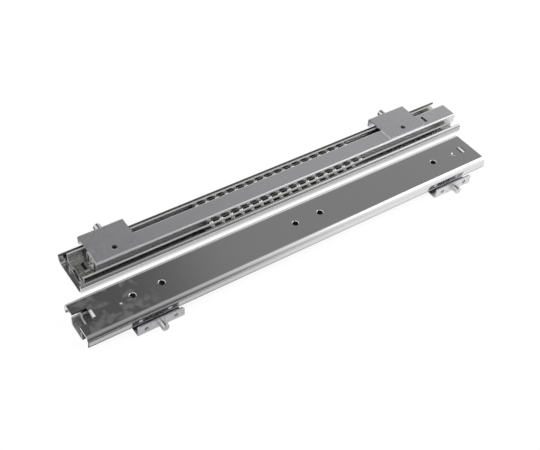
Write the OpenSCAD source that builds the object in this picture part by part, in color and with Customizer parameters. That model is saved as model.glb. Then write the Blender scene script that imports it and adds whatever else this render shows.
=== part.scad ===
// A left and right pair of heavy-duty ball-bearing slides, lying side by side.
// Each slide has three telescoping rails, two rolling ball cages and two load brackets.
// The right slide lies on its back. The left slide is its mirror image, turned face down.

/* [Outer rail] */
// Length of the outer rail
outer_len = 500; // [450:1:650]
// Width across the outer rail's rolled walls
outer_w = 54; // [52:0.5:58]
// Height of the outer rail's lips above its back
outer_h = 14.2; // [13.8:0.1:14.8]
// Sheet thickness of the outer rail
outer_t = 2; // [1.6:0.1:2.1]
// Centreline radius of the bend between back and wall
outer_bend_r = 6; // [5:0.1:6.8]
// Angle that the lip curls in over the balls
lip_curl = 60; // [50:1:64]
// Straight end of the curled lip
lip_end = 0.4; // [0.2:0.1:0.5]
// Width of the notch in the back at the front end
notch_w = 18; // [14:0.5:24]
// Depth of the notch in the back at the front end
notch_len = 15.4; // [12:0.1:20]
// Distance of the rear stop tab from the rear end
rear_tab_x = 11.3; // [8:0.1:14]
// Distance of the small dimple from the front end
front_dimple_x = 45.7; // [40:0.1:48]
// Distance of the small dimple from the slide's centreline
front_dimple_y = 3.4; // [0:0.1:6]
// Diameter of the small dimple
front_dimple_d = 2.4; // [1.5:0.1:4]
// Distance of the large dimple from the rear end
rear_dimple_x = 26.5; // [24:0.1:34]
// Distance of the rear dimple from the outer rail's middle line
rear_dimple_y = 1.6; // [0:0.1:4]
// Diameter of the large dimple
rear_dimple_d = 5.4; // [3:0.1:7]
// Depth of both dimples
dimple_depth = 0.8; // [0.4:0.1:1.2]

/* [Fixing holes] */
// Diameter of the fixing holes
fixing_d = 6.5; // [5.5:0.1:7]
// Diameter of the countersink at a fixing hole's inner face
countersink_d = 9.4; // [8:0.1:10.4]
// Depth of the countersink
countersink_depth = 0.8; // [0.5:0.1:1]
// Diameter of the bevelled rim of a fixing hole on the back
rim_d = 7.5; // [7.1:0.1:8.4]
// Depth of the bevelled rim
rim_depth = 0.4; // [0.2:0.1:0.6]
// Hole spacing within a pair of fixing holes
fixing_pitch = 32; // [25:1:40]
// Distance of the single fixing hole from the rear end
rear_fixing_x = 56; // [50:1:70]
// Distance of the middle pair's first hole from the rear end
mid_fixing_x = 216; // [180:1:240]
// Distance of the front hole from the front end
front_fixing_x = 60; // [54:1:70]

/* [Middle rail] */
// Set-back of the middle rail's rear end from the outer rail's
middle_x = 7; // [4:0.5:9]
// Set-back of the middle rail's front end from the outer rail's
middle_front_x = 10; // [4:0.5:12]
// Height of the middle rail's flanges above the outer rail's back
middle_h = 16; // [15.4:0.1:16.4]
// Sheet thickness of the middle rail
middle_t = 2.2; // [1.8:0.1:2.3]
// Height of the raised rib along the middle rail
rib_rise = 4.5; // [4:0.1:4.6]
// Centreline radius of the rib's bends
rib_bend_r = 1.8; // [1.5:0.1:1.9]
// Centreline radius of the bend between web and flange
middle_bend_r = 2; // [1.6:0.1:2.6]

/* [Inner rail] */
// Set-back of the inner rail's rear end from the outer rail's, when closed
inner_x = 21; // [20:0.5:30]
// Reach of the inner rail's front end beyond the outer rail's, when closed
inner_reach = 0; // [-2:0.5:10]
// Sheet thickness of the inner rail
inner_t = 2; // [1.6:0.1:2.1]
// Centreline radius of the inner rail's bends
inner_bend_r = 1.8; // [1.2:0.1:2.2]
// Height of the inner rail's face above the outer rail's back
slide_h = 18.2; // [17.8:0.1:19]
// Distance of the front catch from the inner rail's front end
catch_x = 41; // [36:0.5:44]
// Length of the opening at the front catch
catch_gap = 3.4; // [2.5:0.1:5]
// Height of the front catch below the inner rail's face
catch_drop = 2.4; // [1.5:0.1:2.6]

/* [Stop tabs] */
// Height of the outer rail's tabs above its back
tab_rise = 6.5; // [5.5:0.1:6.8]
// Outer radius of the bend at the root of the outer rail's tabs
tab_bend_r = 4; // [3:0.1:4.6]
// Length of the opening that a tab leaves beside it
tab_gap = 3.4; // [2:0.1:4]

/* [Balls and cages] */
// Travel of each of the two stages, as a share of the outer rail's length
travel_share = 0.5; // [0.35:0.01:0.52]
// Diameter of the balls between outer and middle rail
outer_ball_d = 5.56; // [5.4:0.02:5.7]
// Diameter of the balls between middle and inner rail
inner_ball_d = 6.35; // [6.2:0.05:6.5]
// Depth of the outer balls' track in the middle rail's flange
outer_bite = 0.75; // [0.5:0.05:0.9]
// Depth of the inner balls' track in each of the two flanges beside it
inner_bite = 0.3; // [0.2:0.05:0.5]
// Distance between neighbouring balls
ball_pitch = 12.5; // [10:0.5:16]
// Distance from a cage's end to its first ball, at least
ball_end = 5.5; // [5:0.5:12]
// Sheet thickness of the ball cages
cage_t = 0.7; // [0.5:0.05:0.8]
// Centreline radius of the outer cage's bends
outer_cage_bend_r = 2.6; // [2.2:0.1:3.4]
// Centreline radius of the inner cage's bends
inner_cage_bend_r = 1; // [0.8:0.1:1.2]
// Height of a cage's edge above the top of its balls
cage_margin = 0.3; // [0.2:0.05:0.5]

/* [Bumpers] */
// Thickness of the rubber pad on the rear stop tab
pad_t = 4.3; // [2:0.1:4.6]
// Length of the plastic bumper at the middle rail's front end
bumper_len = 5; // [3:0.1:8]
// Length of the bumper that stands out of the middle rail
bumper_out = 1; // [0:0.1:2]
// Height of the bumper's bridge above the rib
bumper_bridge = 2.4; // [1.5:0.1:2.6]

/* [Brackets] */
// Length of a bracket along the slide
bracket_len = 51; // [46:0.5:60]
// Sheet thickness of a bracket
bracket_t = 1.6; // [1.2:0.1:2.5]
// Centreline radius of a bracket's bend
bracket_bend_r = 1.6; // [1.3:0.1:3]
// Reach of the bracket's flange from the slide's centreline
bracket_reach = 33.8; // [31:0.1:40]
// Set-back of the plate's free edge from the inner rail's side
plate_inset = 2.9; // [1:0.1:4]
// Diameter of the hole through a bracket's plate and the inner rail
plate_hole_d = 5.6; // [4.5:0.1:6.5]
// Height of the flange below the plate's outer face
flange_h = 13; // [11:0.1:16]
// Radius of the flange's free corners
flange_corner_r = 3; // [1:0.1:4]
// Set-back of the front bracket from the inner rail's front end
front_bracket_x = 47; // [46:0.5:80]
// Set-back of the right slide's rear bracket from the inner rail's rear end
right_bracket_x = 1; // [0:0.5:10]
// Set-back of the left slide's rear bracket from the inner rail's rear end
left_bracket_x = 6; // [0:0.5:10]
// Distance between a flange's two screw holes
flange_pitch = 32; // [26:1:36]
// Diameter of a flange's screw holes
flange_hole_d = 4.8; // [3:0.1:5.5]
// Distance of the flange's holes and stud below the plate's outer face
stud_drop = 6.6; // [6:0.1:8]

/* [Studs] */
// Diameter of a stud's pin
stud_d = 8; // [6:0.1:8.4]
// Reach of a stud beyond its bracket
stud_len = 9; // [6:0.1:16]
// Bevel at a stud's tip
stud_bevel = 0.6; // [0.3:0.1:1]
// Diameter of a stud's collar
collar_d = 8.8; // [8.5:0.1:9.4]
// Thickness of a stud's collar
collar_t = 1; // [0.6:0.1:1.5]
// Diameter of the shank that passes through the flange
shank_d = 4.2; // [3.5:0.1:4.6]
// Diameter of the riveted head behind the flange
rivet_d = 6.4; // [5.5:0.1:7]
// Height of the riveted head
rivet_h = 1; // [0.6:0.1:1.6]

/* [Pair] */
// Clear space between the two slides
pair_gap = 13; // [4:0.5:60]
// Shift of one slide along the other
pair_shift = 24; // [0:1:60]
// How far the right slide's inner rail is drawn out
right_drawn = 3.5; // [0:0.5:60]

/* [Clearances] */
// Running clearance between sheets that move past each other
run = 0.3; // [0.2:0.05:0.35]
// Clear space between the inner cage's fold over the rib and the inner rail's flange
rib_gap = 1.2; // [0.8:0.1:1.4]
// Clear space between a stop tab's side and the rib's wall
tab_play = 0.3; // [0.2:0.1:1.5]
// Radial clearance between a ball and its tracks
ball_play = 0.12; // [0.08:0.01:0.15]
// Radial clearance between a ball and its cage
pocket_play = 0.15; // [0.1:0.01:0.25]
// Radial clearance between a stud's shank and its hole
shank_play = 0.05; // [0.03:0.01:0.1]

/* [Hidden] */
$fn = 48;
// Largest turn of one facet in a rolled bend
bend_step_angle = 7.5;
// Overshoot of every cut
over = 1;

// Heights of the stacked sheets, counted from the outer rail's back
outer_cage_z = outer_t + run;
middle_z = outer_cage_z + cage_t + run;
middle_top = middle_z + middle_t;
rib_top = middle_top + rib_rise;
inner_cage_z = middle_top + run;
inner_foot = inner_cage_z + cage_t + run;
inner_cage_top = rib_top + run;
inner_under = slide_h - inner_t;
total_h = slide_h + bracket_t;

// Widths, from the outer rail inwards: each row of balls lies in tracks in the two sheets beside it
outer_track_r = outer_ball_d / 2 + ball_play;
inner_track_r = inner_ball_d / 2 + ball_play;
outer_ball_y = outer_w / 2 - outer_t - outer_track_r;
middle_w = 2 * (outer_ball_y - outer_track_r + outer_bite);
middle_inside = middle_w / 2 - middle_t;
inner_ball_y = middle_inside + inner_bite - inner_track_r;
inner_w = 2 * (inner_ball_y - inner_track_r + inner_bite);
inner_inside = inner_w / 2 - inner_t;
rib_w = 2 * (inner_inside - rib_gap - cage_t - run);
tab_w = 2 * (rib_w / 2 - middle_t - tab_play);
plate_edge = inner_w / 2 - plate_inset;

// Heights of the two rows of balls
outer_ball_z = outer_h - (outer_track_r + outer_t) * sin(lip_curl) - lip_end * cos(lip_curl);
inner_ball_z = middle_h - inner_ball_d / 2 - cage_margin - run;

// Lengths along the slide
middle_len = outer_len - middle_x - middle_front_x;
inner_len = outer_len + inner_reach - inner_x;
stage_travel = outer_len * travel_share;

// Stops along the slide, counted from the outer rail's rear end
outer_stop_x = outer_len - notch_len - outer_t;
cage_front_x = outer_stop_x + outer_t - tab_bend_r;
middle_stop_x = rear_tab_x + outer_t + pad_t + run;
bumper_x = middle_x + middle_len + bumper_out - bumper_len;
front_mid = inner_x + inner_len - front_bracket_x - bracket_len / 2;
right_rear_mid = inner_x + right_bracket_x + bracket_len / 2;
left_rear_mid = inner_x + left_bracket_x + bracket_len / 2;

// Each cage fills the space between its two stops when its stage is fully drawn out
outer_cage_len = cage_front_x - (middle_stop_x + middle_t) - stage_travel - 2 * run;
outer_cage_x = middle_stop_x + middle_t + run + stage_travel / 2;
inner_cage_len = bumper_x - (inner_x + inner_t) - stage_travel - 2 * run;
inner_cage_x = inner_x + inner_t + run + stage_travel / 2;

// Place of the right slide in the shared frame
slide_x = (pair_shift - outer_len) / 2;
slide_y = (outer_w + pair_gap) / 2;

// A sheet's path is a list of moves: [length, 0] runs straight, [radius, turn] bends
function fine(moves) = [
    for (m = moves)
        if (m[1] == 0) m
        else let (n = ceil(abs(m[1]) / bend_step_angle)) for (k = [1:n]) [m[0], m[1] / n]
];

// One move from a place and heading to the next
function moved(s, m) =
    m[1] == 0
        ? [s[0] + m[0] * cos(s[2]), s[1] + m[0] * sin(s[2]), s[2]]
        : let (side = sign(m[1]), h = s[2] + m[1])
            [s[0] + side * m[0] * (sin(h) - sin(s[2])), s[1] - side * m[0] * (cos(h) - cos(s[2])), h];

// Every place and heading along a path
function walk(s, moves, i = 0) =
    i == len(moves) ? [s] : concat([s], walk(moved(s, moves[i]), moves, i + 1));

// Points to one side of a path
function beside(states, d) = [for (s = states) [s[0] - d * sin(s[2]), s[1] + d * cos(s[2])]];

// A list of points in reverse order
function back_to_front(p) = [for (i = [len(p) - 1:-1:0]) p[i]];

// A list of points mirrored across the slide's centre plane
function across(p) = [for (q = p) [-q[0], q[1]]];

// Outline of a sheet that is alike on both sides of the slide's centre plane
function channel(z, t, moves) =
    let (
        all = walk([0, z, 0], fine(moves)),
        states = [for (i = [1:len(all) - 1]) all[i]],
        top = beside(states, t / 2),
        low = beside(states, -t / 2)
    )
    concat(across(back_to_front(top)), top, back_to_front(low), across(low));

// Outline of a sheet that follows one path
function strip(start, t, moves) =
    let (states = walk(start, fine(moves)))
    concat(beside(states, t / 2), back_to_front(beside(states, -t / 2)));

// Paths of the bent sheets, from the centre plane outwards
outer_path = [
    [outer_w / 2 - outer_t / 2 - outer_bend_r, 0],
    [outer_bend_r, 90],
    [outer_ball_z - outer_t / 2 - outer_bend_r, 0],
    [outer_track_r + outer_t / 2, lip_curl],
    [lip_end, 0]
];
rib_y = rib_w / 2 - middle_t / 2;
flange_y = middle_w / 2 - middle_t / 2;
middle_path = [
    [rib_y - rib_bend_r, 0],
    [rib_bend_r, -90],
    [rib_rise - 2 * rib_bend_r, 0],
    [rib_bend_r, 90],
    [flange_y - rib_y - rib_bend_r - middle_bend_r, 0],
    [middle_bend_r, 90],
    [middle_h - middle_z - middle_t / 2 - middle_bend_r, 0]
];
inner_flange_y = inner_w / 2 - inner_t / 2;
inner_path = [
    [inner_flange_y - inner_bend_r, 0],
    [inner_bend_r, -90],
    [slide_h - inner_t / 2 - inner_bend_r - inner_foot, 0]
];
outer_cage_path = [
    [outer_ball_y - outer_cage_bend_r, 0],
    [outer_cage_bend_r, 90],
    [outer_ball_z + outer_ball_d / 2 + cage_margin - outer_cage_z - cage_t / 2 - outer_cage_bend_r, 0]
];
cage_rib_y = rib_w / 2 + run + cage_t / 2;
inner_cage_path = [
    [cage_rib_y - inner_cage_bend_r, 0],
    [inner_cage_bend_r, -90],
    [inner_cage_top - inner_cage_z - 2 * inner_cage_bend_r, 0],
    [inner_cage_bend_r, 90],
    [inner_ball_y - cage_rib_y - 2 * inner_cage_bend_r, 0],
    [inner_cage_bend_r, 90],
    [inner_ball_z + inner_ball_d / 2 + cage_margin - inner_cage_z - cage_t / 2 - inner_cage_bend_r, 0]
];
bracket_path = [
    [plate_edge + bracket_reach - bracket_t / 2 - bracket_bend_r, 0],
    [bracket_bend_r, -90],
    [flange_h - bracket_t / 2 - bracket_bend_r, 0]
];

// Puts a piece of the right slide in its place, drawn out by a distance
module right(drawn = 0) {
    translate([slide_x + drawn, slide_y, 0]) children();
}

// Puts the same piece in the left slide, mirrored and turned face down
module left() {
    translate([0, 0, total_h]) mirror([0, 0, 1]) mirror([0, 1, 0]) mirror([1, 0, 0]) right() children();
}

// An outline across the slide, carried along it
module along(x, length) {
    translate([x, 0, 0]) rotate([90, 0, 90]) linear_extrude(length) children();
}

// A block from one corner to the opposite one
module block(low, high) {
    translate(low) cube(high - low);
}

// Ball tracks cut along both sides of a rail
module tracks(x, length, y, z, r) {
    for (side = [-1, 1])
        along(x - over, length + 2 * over) translate([side * y, z]) circle(r);
}

// Places of a row of balls, centred in its cage
function row(x, length) =
    let (n = floor((length - 2 * ball_end) / ball_pitch))
    [for (i = [0:n]) x + length / 2 + (i - n / 2) * ball_pitch];

// A fixing hole, countersunk inside, with a bevelled rim on the back
module fixing_hole(x) {
    translate([x, 0, 0]) {
        translate([0, 0, -over]) cylinder(h = outer_t + 2 * over, d = fixing_d);
        translate([0, 0, outer_t - countersink_depth])
            cylinder(h = countersink_depth, d1 = fixing_d, d2 = countersink_d);
        cylinder(h = rim_depth, d1 = rim_d, d2 = fixing_d);
    }
}

// A shallow round dimple in the back
module dimple(x, y, d) {
    ball_r = (d * d / 4 + dimple_depth * dimple_depth) / (2 * dimple_depth);
    translate([x, y, dimple_depth - ball_r]) sphere(ball_r);
}

// A stop tab bent up from the outer rail's back, round at its root
module stop_tab(x) {
    root_x = x + outer_t - tab_bend_r;
    block([x, -tab_w / 2, tab_bend_r], [x + outer_t, tab_w / 2, tab_rise]);
    intersection() {
        block([root_x, -tab_w / 2, 0], [x + outer_t, tab_w / 2, tab_bend_r]);
        translate([root_x, 0, tab_bend_r]) rotate([90, 0, 0]) difference() {
            cylinder(h = tab_w, r = tab_bend_r, center = true);
            cylinder(h = tab_w + 2 * over, r = tab_bend_r - outer_t, center = true);
        }
    }
}

// Cabinet member: a rolled channel with a stop tab near each end
module outer_rail() {
    fixings = [
        rear_fixing_x, mid_fixing_x, mid_fixing_x + fixing_pitch,
        outer_len - front_fixing_x - fixing_pitch, outer_len - front_fixing_x
    ];
    color("silver") {
        difference() {
            along(0, outer_len) polygon(channel(outer_t / 2, outer_t, outer_path));
            for (x = fixings) fixing_hole(x);
            dimple(outer_len - front_dimple_x, front_dimple_y, front_dimple_d);
            dimple(rear_dimple_x, rear_dimple_y, rear_dimple_d);
            block([outer_len - notch_len, -notch_w / 2, -over], [outer_len + over, notch_w / 2, outer_t + over]);
            block([cage_front_x, -tab_w / 2, -over], [outer_len, tab_w / 2, outer_t + over]);
            block([rear_tab_x + outer_t - tab_bend_r, -tab_w / 2, -over],
                [rear_tab_x + outer_t + tab_gap, tab_w / 2, outer_t + over]);
        }
        stop_tab(rear_tab_x);
        stop_tab(outer_stop_x);
    }
}

// Intermediate member: a channel with a raised rib and a stop tab bent down from it
module middle_rail() {
    rib_under = rib_top - middle_t;
    color("silver") {
        difference() {
            along(middle_x, middle_len)
                polygon(channel(rib_top - middle_t / 2, middle_t, middle_path));
            tracks(middle_x, middle_len, outer_ball_y, outer_ball_z, outer_track_r);
            tracks(middle_x, middle_len, inner_ball_y, inner_ball_z, inner_track_r);
            block([middle_stop_x - tab_gap, -tab_w / 2, rib_under - over],
                [middle_stop_x, tab_w / 2, rib_top + over]);
        }
        block([middle_stop_x, -tab_w / 2, outer_cage_z], [middle_stop_x + middle_t, tab_w / 2, rib_under + run]);
    }
}

// Drawer member: a channel that carries the brackets, with a rear stop and a front catch
module inner_rail(rear_mid) {
    catch_at = inner_x + inner_len - catch_x;
    color("lightgray") {
        difference() {
            along(inner_x, inner_len)
                polygon(channel(slide_h - inner_t / 2, inner_t, inner_path));
            tracks(inner_x, inner_len, inner_ball_y, inner_ball_z, inner_track_r);
            for (x = [rear_mid, front_mid])
                translate([x, 0, inner_under - over]) cylinder(h = inner_t + 2 * over, d = plate_hole_d);
            block([catch_at, -tab_w / 2, inner_under - over], [catch_at + catch_gap, tab_w / 2, slide_h + over]);
        }
        block([inner_x, -tab_w / 2, inner_cage_top], [inner_x + inner_t, tab_w / 2, inner_under + run]);
        block([catch_at - inner_t, -tab_w / 2, inner_under - catch_drop], [catch_at, tab_w / 2, inner_under + run]);
    }
}

// Ball cage: a thin folded strip with a round pocket for each ball
module cage(x, length, z, path, y, ball_z, d) {
    color("gainsboro") difference() {
        along(x, length) polygon(channel(z, cage_t, path));
        for (side = [-1, 1], p = row(x, length))
            translate([p, side * y, ball_z]) rotate([90, 0, 0])
                cylinder(h = 2 * cage_t, d = d + 2 * pocket_play, center = true);
    }
}

module outer_cage() {
    cage(outer_cage_x, outer_cage_len, outer_cage_z + cage_t / 2, outer_cage_path,
        outer_ball_y, outer_ball_z, outer_ball_d);
}

module inner_cage() {
    cage(inner_cage_x, inner_cage_len, inner_cage_top + cage_t / 2, inner_cage_path,
        inner_ball_y, inner_ball_z, inner_ball_d);
}

// Two rows of steel balls, one on each side of the slide
module balls(x, length, y, z, d) {
    color("whitesmoke")
        for (side = [-1, 1], p = row(x, length)) translate([p, side * y, z]) sphere(d / 2);
}

module outer_balls() {
    balls(outer_cage_x, outer_cage_len, outer_ball_y, outer_ball_z, outer_ball_d);
}

module inner_balls() {
    balls(inner_cage_x, inner_cage_len, inner_ball_y, inner_ball_z, inner_ball_d);
}

// Rubber pad on the rear stop tab, which the middle rail's tab closes against
module rear_pad() {
    pad_x = rear_tab_x + outer_t;
    color("dimgray") block([pad_x, -tab_w / 2, outer_t], [pad_x + pad_t, tab_w / 2, tab_rise]);
}

// Plastic end piece in the middle rail, which stops the inner cage
module front_bumper() {
    rib_side = rib_w / 2;
    rib_fillet = rib_bend_r - middle_t / 2;
    web_fillet = middle_bend_r - middle_t / 2;
    leg = inner_inside - run;
    foot_top = inner_foot - run;
    color("ivory") along(bumper_x, bumper_len) {
        translate([-leg, rib_top]) square([2 * leg, bumper_bridge]);
        for (side = [0, 1]) mirror([side, 0]) {
            translate([rib_side, middle_top + rib_fillet])
                square([leg - rib_side, rib_top + bumper_bridge - middle_top - rib_fillet]);
            translate([rib_side + rib_fillet, middle_top])
                square([middle_inside - web_fillet - rib_side - rib_fillet, foot_top - middle_top]);
            translate([inner_w / 2 + run, middle_top + web_fillet])
                square([middle_inside - inner_w / 2 - run, middle_h - run - middle_top - web_fillet]);
        }
    }
}

// Load bracket: a plate welded to the inner rail, with a flange for the load's screws
module bracket(x) {
    low = total_h - flange_h;
    hole_z = total_h - stud_drop;
    plate_z = slide_h + bracket_t / 2;
    half = bracket_len / 2;
    color("silver") translate([x, 0, 0]) difference() {
        along(-half, bracket_len)
            polygon(strip([-plate_edge, plate_z, 0], bracket_t, bracket_path));
        translate([0, 0, slide_h - over]) cylinder(h = bracket_t + 2 * over, d = plate_hole_d);
        for (hole = [[-flange_pitch / 2, flange_hole_d], [0, shank_d + 2 * shank_play], [flange_pitch / 2, flange_hole_d]])
            translate([hole[0], bracket_reach + over, hole_z]) rotate([90, 0, 0])
                cylinder(h = bracket_t + 2 * over, d = hole[1]);
        for (side = [-1, 1]) difference() {
            block([side > 0 ? half - flange_corner_r : -half - over, bracket_reach - bracket_t - over, low - over],
                [side > 0 ? half + over : flange_corner_r - half, bracket_reach + over, low + flange_corner_r]);
            translate([side * (half - flange_corner_r), bracket_reach + 2 * over, low + flange_corner_r])
                rotate([90, 0, 0]) cylinder(h = bracket_t + 4 * over, r = flange_corner_r);
        }
    }
}

// Locating stud, riveted through the flange
module stud(x) {
    inside = bracket_reach - bracket_t;
    color("silver") translate([x, 0, total_h - stud_drop]) rotate([-90, 0, 0]) {
        translate([0, 0, inside - rivet_h]) cylinder(h = rivet_h, d = rivet_d);
        translate([0, 0, inside]) cylinder(h = bracket_t, d = shank_d);
        translate([0, 0, bracket_reach]) cylinder(h = collar_t, d = collar_d);
        translate([0, 0, bracket_reach]) cylinder(h = stud_len - stud_bevel, d = stud_d);
        translate([0, 0, bracket_reach + stud_len - stud_bevel])
            cylinder(h = stud_bevel, d1 = stud_d, d2 = stud_d - 2 * stud_bevel);
    }
}

right() outer_rail();  // right_outer_rail
right() middle_rail();  // right_middle_rail
right(right_drawn) inner_rail(right_rear_mid);  // right_inner_rail
right() outer_cage();  // right_outer_cage
right() outer_balls();  // right_outer_balls
right(right_drawn / 2) inner_cage();  // right_inner_cage
right(right_drawn / 2) inner_balls();  // right_inner_balls
right() rear_pad();  // right_rear_pad
right() front_bumper();  // right_front_bumper
right(right_drawn) bracket(right_rear_mid);  // right_rear_bracket
right(right_drawn) bracket(front_mid);  // right_front_bracket
right(right_drawn) stud(right_rear_mid);  // right_rear_stud
right(right_drawn) stud(front_mid);  // right_front_stud
left() outer_rail();  // left_outer_rail
left() middle_rail();  // left_middle_rail
left() inner_rail(left_rear_mid);  // left_inner_rail
left() outer_cage();  // left_outer_cage
left() outer_balls();  // left_outer_balls
left() inner_cage();  // left_inner_cage
left() inner_balls();  // left_inner_balls
left() rear_pad();  // left_rear_pad
left() front_bumper();  // left_front_bumper
left() bracket(left_rear_mid);  // left_rear_bracket
left() bracket(front_mid);  // left_front_bracket
left() stud(left_rear_mid);  // left_rear_stud
left() stud(front_mid);  // left_front_stud
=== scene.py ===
"""A left and right pair of heavy-duty ball-bearing slides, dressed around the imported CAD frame.

Metres. +X runs along the slides, +Y across them, towards the right slide, and +Z up.
"""

from math import radians

import bpy
import numpy as np
from mathutils import Matrix, Vector

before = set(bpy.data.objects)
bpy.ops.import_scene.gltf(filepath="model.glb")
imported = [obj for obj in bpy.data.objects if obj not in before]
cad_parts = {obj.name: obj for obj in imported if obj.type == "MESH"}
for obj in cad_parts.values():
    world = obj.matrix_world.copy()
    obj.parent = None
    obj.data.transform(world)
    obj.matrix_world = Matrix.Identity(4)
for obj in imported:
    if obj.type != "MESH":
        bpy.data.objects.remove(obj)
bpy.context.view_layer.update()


# Camera: the photograph looks down at 45 degrees, from beyond the near left corner, with the horizon
# turned by a few degrees. Place, aim and lens come from a camera fitted to the rails' straight edges.
camera_at = Vector((-0.4463, -0.5783, 0.7009))
heading, tilt, roll = radians(36.51), radians(44.54), radians(3.76)
sensor_width, focal_length = 36.0, 61.76
camera_data = bpy.data.cameras.new("camera")
camera_data.sensor_width = sensor_width
camera_data.lens = focal_length
camera = bpy.data.objects.new("camera", camera_data)
camera.matrix_world = (
    Matrix.Translation(camera_at)
    @ Matrix.Rotation(-heading, 4, "Z")
    @ Matrix.Rotation(radians(90) - tilt, 4, "X")
    @ Matrix.Rotation(roll, 4, "Z")
)
bpy.context.scene.collection.objects.link(camera)
bpy.context.scene.camera = camera
bpy.context.scene.view_settings.view_transform = "Standard"


# Floor: a plain white sheet under the pair. The camera and the metal see it near white, and it keeps a
# faint shadow, because a fifth of its white is light that it scatters.
floor_half = 4.0
floor_glow, glow_share = 1.12, 0.8
paper_color, paper_roughness = (0.9, 0.9, 0.9), 0.9


def shader(name, color, metallic, roughness):
    """A new material, with its node tree and its Principled shader."""
    made = bpy.data.materials.new(name)
    made.use_nodes = True
    surface = made.node_tree.nodes["Principled BSDF"]
    surface.inputs["Base Color"].default_value = (*color, 1.0)
    surface.inputs["Metallic"].default_value = metallic
    surface.inputs["Roughness"].default_value = roughness
    return made, made.node_tree, surface


def add(tree, kind, **values):
    """A node of a kind, with its properties or its inputs set by name."""
    made = tree.nodes.new(kind)
    for key, value in values.items():
        if hasattr(made, key):
            setattr(made, key, value)
        else:
            made.inputs[key].default_value = value
    return made


def feed(tree, socket, value):
    """Links another node's output to an input, or sets a plain number on it."""
    if isinstance(value, bpy.types.NodeSocket):
        tree.links.new(value, socket)
    else:
        socket.default_value = value


def work_out(tree, operation, *values):
    """The result of one sum on outputs and plain numbers."""
    made = add(tree, "ShaderNodeMath", operation=operation)
    for socket, value in zip(made.inputs, values):
        feed(tree, socket, value)
    return made.outputs[0]


def show(tree, share, first, second):
    """Shows the first shader where the share is 0, and the second where it is 1."""
    pick = add(tree, "ShaderNodeMixShader")
    for socket, source in zip(pick.inputs, (share, first, second)):
        tree.links.new(source, socket)
    tree.links.new(pick.outputs[0], tree.nodes["Material Output"].inputs["Surface"])


floor_mesh = bpy.data.meshes.new("floor")
floor_mesh.from_pydata(
    [(x * floor_half, y * floor_half, 0.0) for x, y in ((-1, -1), (1, -1), (1, 1), (-1, 1))],
    [], [(0, 1, 2, 3)])
floor = bpy.data.objects.new("floor", floor_mesh)
bpy.context.scene.collection.objects.link(floor)
paper, tree, surface = shader("white_paper", paper_color, 0.0, paper_roughness)
ray = add(tree, "ShaderNodeLightPath").outputs
seen = work_out(tree, "MAXIMUM", ray["Is Camera Ray"], ray["Is Glossy Ray"])
seen = work_out(tree, "MAXIMUM", seen, ray["Is Transmission Ray"])
glow = add(tree, "ShaderNodeEmission", Strength=floor_glow)
show(tree, work_out(tree, "MULTIPLY", seen, glow_share), surface.outputs[0], glow.outputs[0])
floor_mesh.materials.append(paper)


# World: a room that is bright to the left, over the right end and before the pair, dim high up beyond
# it, and pale again low down beyond it. The metal mirrors all that; the camera itself sees only white.
camera_white = 1.0
left_level, bright_level = 0.9, 1.05
rise_of_bright_edge = 0.12


def ramp(tree, source, between, levels=(0.0, 1.0)):
    """A value that runs smoothly from one level to the other as the source passes between two values."""
    made = add(tree, "ShaderNodeMapRange", interpolation_type="SMOOTHSTEP")
    names = ("From Min", "From Max", "To Min", "To Max")
    for name, value in zip(names, (*between, *levels)):
        made.inputs[name].default_value = value
    tree.links.new(source, made.inputs["Value"])
    return made.outputs["Result"]


def blend(tree, share, first, second):
    """The first value where the share is 0, and the second where it is 1."""
    made = add(tree, "ShaderNodeMix", data_type="FLOAT")
    for name, value in (("Factor", share), ("A", first), ("B", second)):
        feed(tree, made.inputs[name], value)
    return made.outputs["Result"]


world = bpy.data.worlds.new("room")
bpy.context.scene.world = world
world.use_nodes = True
room = world.node_tree
background = room.nodes["Background"]
background.inputs["Color"].default_value = (1.0, 1.0, 1.0, 1.0)
toward = add(room, "ShaderNodeTexCoord")
parts = add(room, "ShaderNodeSeparateXYZ")
room.links.new(toward.outputs["Generated"], parts.inputs[0])
to_right, to_far, to_top = parts.outputs
lean = work_out(room, "MULTIPLY_ADD", to_top, rise_of_bright_edge, to_right)
high_before = ramp(room, to_top, between=(0.4, 0.95), levels=(0.08, 0.38))
before = blend(room, ramp(room, lean, between=(0.35, 0.61)), high_before, bright_level)
high_beyond = ramp(room, to_right, between=(0.27, 0.38), levels=(0.09, 0.24))
low_beyond = ramp(room, to_right, between=(0.1, 0.6), levels=(0.6, 1.05))
low_share = ramp(room, to_top, between=(0.15, 0.68), levels=(1.0, 0.0))
beyond = blend(room, low_share, high_beyond, low_beyond)
ahead = blend(room, ramp(room, to_far, between=(-0.2, 0.25)), before, beyond)
left_share = ramp(room, to_right, between=(-0.3, 0.0), levels=(1.0, 0.0))
all_round = blend(room, left_share, ahead, left_level)
is_camera = add(room, "ShaderNodeLightPath").outputs["Is Camera Ray"]
room.links.new(blend(room, is_camera, all_round, camera_white), background.inputs["Strength"])


# Lamp: one weak soft box over the right end, aimed at the middle of the pair. It adds a faint shadow
# and a little sheen on the metal.
lamp_at = Vector((1.3, -0.5, 1.3))
lamp_size, lamp_power = 0.9, 3.0
lamp_data = bpy.data.lights.new("key_light", "AREA")
lamp_data.shape = "SQUARE"
lamp_data.size = lamp_size
lamp_data.energy = lamp_power
lamp = bpy.data.objects.new("key_light", lamp_data)
aim = (-lamp_at).to_track_quat("-Z", "Y")
lamp.matrix_world = Matrix.Translation(lamp_at) @ aim.to_matrix().to_4x4()
bpy.context.scene.collection.objects.link(lamp)


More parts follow.
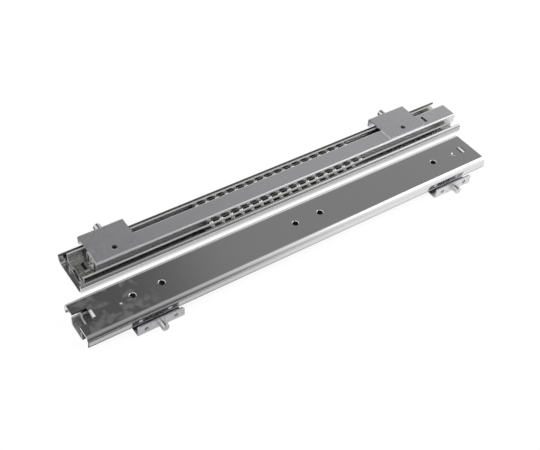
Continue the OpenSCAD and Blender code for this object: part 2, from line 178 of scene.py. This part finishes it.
# Cards: one dark felt sheet on the floor that only the metal sees, so that its near, inner and far
# walls darken while the floor stays white. That is a painted dark reflection, and the strip under the
# near rail is painted shadow. An attribute holds how much of the felt shows at each place: before the
# pair it grows to the left and away from the rail, and there is some between and beyond.
card_z = 0.0005
card_xs = np.concatenate(([-1.6, -0.8], np.linspace(-0.4, 0.4, 41), [0.8, 1.6]))
card_ys = np.concatenate(([-1.6, -0.6, -0.3], np.linspace(-0.2, 0.2, 201), [0.3, 0.6, 1.6]))
felt_at_right, felt_at_left = 0.12, 0.95
right_end, left_end = 0.14, -0.26
share_near_rail, near_rail, away_from_rail = 0.45, -0.07, -0.12
felt_under_rail, under_rail, behind_near_wall = 0.55, -0.057, -0.045
gap_half, gap_slope_half = 0.008, 0.0065
felt_by_left_slide, felt_by_right_slide = 0.6, 0.1
felt_beyond, far_wall, beyond_far_wall = 0.85, 0.0605, 0.07
felt_color, felt_roughness = (0.05, 0.05, 0.05), 0.9


def smooth(value, low, high):
    """0 before low, 1 after high, and a smooth rise between; low may be the larger."""
    part = np.clip((value - low) / (high - low), 0.0, 1.0)
    return part * part * (3.0 - 2.0 * part)


grid_x, grid_y = np.meshgrid(card_xs, card_ys)
by_length = felt_at_right + (felt_at_left - felt_at_right) * smooth(grid_x, right_end, left_end)
by_distance = share_near_rail + (1.0 - share_near_rail) * smooth(grid_y, near_rail, away_from_rail)
# Painted shadow: the felt beside and under the near rail, which the metal mirrors as the floor's shade.
contact_shadow = felt_under_rail * smooth(grid_y, near_rail, under_rail)
near_side = np.where(grid_y < behind_near_wall, np.minimum(by_length * by_distance + contact_shadow, 1.0), 0.0)
across_gap = felt_by_left_slide + (felt_by_right_slide - felt_by_left_slide) * smooth(
    grid_y, -gap_slope_half, gap_slope_half)
in_gap = np.where(abs(grid_y) < gap_half, across_gap, 0.0)
far_side = felt_beyond * smooth(grid_y, far_wall, beyond_far_wall)
felt_share = np.maximum(np.maximum(near_side, in_gap), far_side).ravel()
columns, rows = len(card_xs), len(card_ys)
corner = (np.arange(rows - 1)[:, None] * columns + np.arange(columns - 1)).ravel()
card_mesh = bpy.data.meshes.new("cards")
card_mesh.from_pydata(
    np.column_stack((grid_x.ravel(), grid_y.ravel(), np.full(grid_x.size, card_z))).tolist(), [],
    np.column_stack((corner, corner + 1, corner + columns + 1, corner + columns)).tolist())
card_mesh.attributes.new("felt", "FLOAT", "POINT").data.foreach_set("value", felt_share)
cards = bpy.data.objects.new("cards", card_mesh)
bpy.context.scene.collection.objects.link(cards)
for kind in ("camera", "diffuse", "shadow", "transmission", "volume_scatter"):
    setattr(cards, f"visible_{kind}", False)
felt, tree, surface = shader("dark_felt", felt_color, 0.0, felt_roughness)
share = add(tree, "ShaderNodeAttribute", attribute_name="felt")
clear = add(tree, "ShaderNodeBsdfTransparent")
show(tree, share.outputs["Fac"], clear.outputs[0], surface.outputs[0])
card_mesh.materials.append(felt)


# Outer rails: the cabinet members, each one strip of 2 mm steel, rolled to a channel whose lips curl in
# over the balls, pierced, countersunk and bright zinc plated. The left one lies face down: its back
# shows, cloudy with handling at its front end, and the notch there is darkened inside with painted shade.
# The right one's lips show: the dark line under them and their dimmed top are painted reflection, and
# the lips' inner edges are darkened with painted shade, on the right one most.
SIDES = ("right", "left")
slide_line = 0.0335
right_slide_only = (0.0, 0.1)
grain_scale, grain_detail = (12.0, 900.0, 900.0), 3.0
cloud_scale, cloud_detail = 28.0, 4.0
relief_strength, relief_depth = 0.12, 0.00005
fade_along, fade_across, fade_up = 0.0003, 0.0003, 0.0002
patch_detail, patch_fade = 4.0, 0.12


def rolled_steel(name, color, roughness, streaks):
    """Zinc-plated strip: streaks along the slide from a noise stretched 75 times, in gloss and in relief."""
    made, tree, surface = shader(name, color, 1.0, roughness)
    place = add(tree, "ShaderNodeTexCoord")
    stretch = add(tree, "ShaderNodeMapping")
    stretch.inputs["Scale"].default_value = grain_scale
    grain = add(tree, "ShaderNodeTexNoise", Scale=1.0, Detail=grain_detail)
    cloud = add(tree, "ShaderNodeTexNoise", Scale=cloud_scale, Detail=cloud_detail)
    gloss = add(tree, "ShaderNodeMapRange")
    gloss.inputs["To Min"].default_value = roughness - streaks
    gloss.inputs["To Max"].default_value = roughness + streaks
    relief = add(tree, "ShaderNodeBump", Strength=relief_strength, Distance=relief_depth)
    tree.links.new(place.outputs["Object"], stretch.inputs["Vector"])
    tree.links.new(stretch.outputs["Vector"], grain.inputs["Vector"])
    tree.links.new(place.outputs["Object"], cloud.inputs["Vector"])
    both = work_out(tree, "MULTIPLY", grain.outputs["Fac"], cloud.outputs["Fac"])
    tree.links.new(both, gloss.inputs["Value"])
    tree.links.new(gloss.outputs["Result"], surface.inputs["Roughness"])
    tree.links.new(grain.outputs["Fac"], relief.inputs["Height"])
    tree.links.new(relief.outputs["Normal"], surface.inputs["Normal"])
    return made


def grey(level):
    """A neutral colour."""
    return (level, level, level)


def touch(made, color, roughness, along=None, aside=None, height=None, across=None, patches=None,
          soft=fade_along):
    """Another colour and gloss inside a box, which fades at its ends: a stretch along the slides, a
    distance from each slide's middle line, a height, and a place across the pair. Patches, of a size
    and from a share of the noise up, leave it only here and there."""
    tree = made.node_tree
    surface = tree.nodes["Principled BSDF"]
    place = add(tree, "ShaderNodeTexCoord")
    where = add(tree, "ShaderNodeSeparateXYZ")
    tree.links.new(place.outputs["Object"], where.inputs[0])
    x, y, z = where.outputs
    off_line = work_out(tree, "SUBTRACT", work_out(tree, "ABSOLUTE", y), slide_line)
    distance = work_out(tree, "ABSOLUTE", off_line)
    shares = []
    for value, limits, fade in (
            (x, along, soft), (distance, aside, fade_across), (z, height, fade_up), (y, across, fade_across)):
        if limits:
            low, high = limits
            shares.append(ramp(tree, value, (low - fade, low)))
            shares.append(ramp(tree, value, (high, high + fade), (1.0, 0.0)))
    if patches:
        size, least = patches
        noise = add(tree, "ShaderNodeTexNoise", Scale=1.0 / size, Detail=patch_detail)
        tree.links.new(place.outputs["Object"], noise.inputs["Vector"])
        shares.append(ramp(tree, noise.outputs["Fac"], (least, least + patch_fade)))
    total = shares[0]
    for share in shares[1:]:
        total = work_out(tree, "MULTIPLY", total, share)
    for name, kind, wanted in (("Base Color", "RGBA", (*color, 1.0)), ("Roughness", "FLOAT", roughness)):
        mixed = add(tree, "ShaderNodeMix", data_type=kind)
        factor, first, second = [put for put in mixed.inputs if put.enabled]
        made_before = surface.inputs[name]
        if made_before.links:
            tree.links.new(made_before.links[0].from_socket, first)
        else:
            first.default_value = made_before.default_value
        second.default_value = wanted
        tree.links.new(total, factor)
        tree.links.new([put for put in mixed.outputs if put.enabled][0], made_before)


def dress(piece, material):
    """Gives a CAD piece its material."""
    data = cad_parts[piece].data
    data.materials.clear()
    data.materials.append(material)


outer_zinc = rolled_steel("outer_zinc", (0.78, 0.78, 0.79), roughness=0.17, streaks=0.05)
lip_height, lip_edge_height, line_height = (0.0123, 0.016), (0.0123, 0.0145), (0.0112, 0.0142)
# Painted shade: the lips' inner edges, by the gap to the middle rail, darkened on both rails.
touch(outer_zinc, grey(0.1), 0.5, along=(-0.3, 0.16), aside=(0.0225, 0.0243), height=lip_edge_height,
      soft=0.06)
touch(outer_zinc, (0.84, 0.84, 0.85), 0.27, along=(-0.27, -0.2), aside=(0.002, 0.0215),
      height=(0.0195, 0.02), patches=(0.012, 0.5), soft=0.03)
# Painted reflection on the right rail's lips: a dark line under them and a dimmed lip top. Their inner part
# is darkened as painted shade.
touch(outer_zinc, grey(0.36), 0.4, aside=(0.0263, 0.028), height=line_height, across=right_slide_only)
touch(outer_zinc, grey(0.6), 0.3, aside=(0.0243, 0.026), height=lip_height, across=right_slide_only)
touch(outer_zinc, grey(0.2), 0.4, aside=(0.0215, 0.0245), height=lip_height, across=right_slide_only)
# Painted shade: the notch at the left rail's front end, darkened inside.
touch(outer_zinc, grey(0.06), 0.5, along=(-0.262, -0.244), aside=(0.006, 0.0092),
      height=(0.0165, 0.0194))
for side in SIDES:
    dress(f"{side}_outer_rail", outer_zinc)


# Middle rails: the intermediate members, rolled from one strip with a raised rib and a ball track on
# both faces of each wall, zinc plated. Their flange edges are whitened as a painted highlight, the left
# one's front end is darkened with painted shade, and the rib is mottled where it shows at the rear end
# of the right one.
middle_zinc = rolled_steel("middle_zinc", (0.66, 0.66, 0.65), roughness=0.3, streaks=0.06)
# Painted shade: the middle rail's front end, darkened.
touch(middle_zinc, grey(0.22), 0.5, along=(-0.262, -0.245), aside=(0.0, 0.0066), soft=0.03)
# Painted highlight: the flange edges, whitened.
touch(middle_zinc, (0.95, 0.95, 0.94), 0.55, aside=(0.017, 0.0205), height=(0.0158, 0.0165))
touch(middle_zinc, (0.2, 0.19, 0.17), 0.6, along=(-0.24, -0.205), aside=(0.0, 0.008),
      patches=(0.0022, 0.48), soft=0.002)
for side in SIDES:
    dress(f"{side}_middle_rail", middle_zinc)


# Inner rails: the drawer members, rolled channels that ride open side down on the inner balls, with the
# dull zinc plate that takes the welded brackets. The left one's front end, inside the notch, is darkened
# with painted shade.
inner_zinc = rolled_steel("inner_zinc", (0.8, 0.79, 0.81), roughness=0.42, streaks=0.06)
# Painted shade: the front end inside the notch, darkened.
touch(inner_zinc, (0.5, 0.5, 0.51), 0.5, along=(-0.27, -0.245), height=(0.0, 0.012), soft=0.03)
for side in SIDES:
    dress(f"{side}_inner_rail", inner_zinc)


# Ball cages and balls: thin pierced strip, folded along both rows and snapped over hardened, polished
# balls. The outer cages' webs, under the middle rails, are painted black as painted shade.
cage_steel = rolled_steel("cage_steel", (0.45, 0.45, 0.44), roughness=0.35, streaks=0.08)
painted_shade_cage_steel = rolled_steel("painted_shade_cage_steel", (0.75, 0.75, 0.73), roughness=0.4, streaks=0.08)
# Painted shade: the outer cage's web under the middle rail, black.
touch(painted_shade_cage_steel, grey(0.02), 0.5, aside=(0.0, 0.017))
ball_steel = shader("ball_steel", (0.96, 0.96, 0.95), metallic=1.0, roughness=0.3)[0]
for side in SIDES:
    dress(f"{side}_outer_cage", painted_shade_cage_steel)
    dress(f"{side}_inner_cage", cage_steel)
    dress(f"{side}_outer_balls", ball_steel)
    dress(f"{side}_inner_balls", ball_steel)


# Brackets and studs: sheared and bent angle plates, dull zinc plated and a little blotched, welded to the
# inner rails, and turned steel locating studs that are riveted through their flanges.
bracket_zinc = rolled_steel("bracket_zinc", (0.76, 0.75, 0.77), roughness=0.42, streaks=0.06)
touch(bracket_zinc, (0.68, 0.67, 0.69), 0.46, patches=(0.0035, 0.5))
stud_steel = shader("stud_steel", (0.7, 0.7, 0.69), metallic=1.0, roughness=0.22)[0]
for side in SIDES:
    for end in ("rear", "front"):
        dress(f"{side}_{end}_bracket", bracket_zinc)
        dress(f"{side}_{end}_stud", stud_steel)


# Rear pads and front bumpers: a moulded rubber pad on each outer rail's rear stop tab, and a pale moulded
# plastic piece in each middle rail's front end, which stops the inner cage.
black_rubber = shader("black_rubber", (0.04, 0.04, 0.04), metallic=0.0, roughness=0.7)[0]
pale_plastic = shader("pale_plastic", (0.78, 0.77, 0.74), metallic=0.0, roughness=0.45)[0]
for side in SIDES:
    dress(f"{side}_rear_pad", black_rubber)
    dress(f"{side}_front_bumper", pale_plastic)
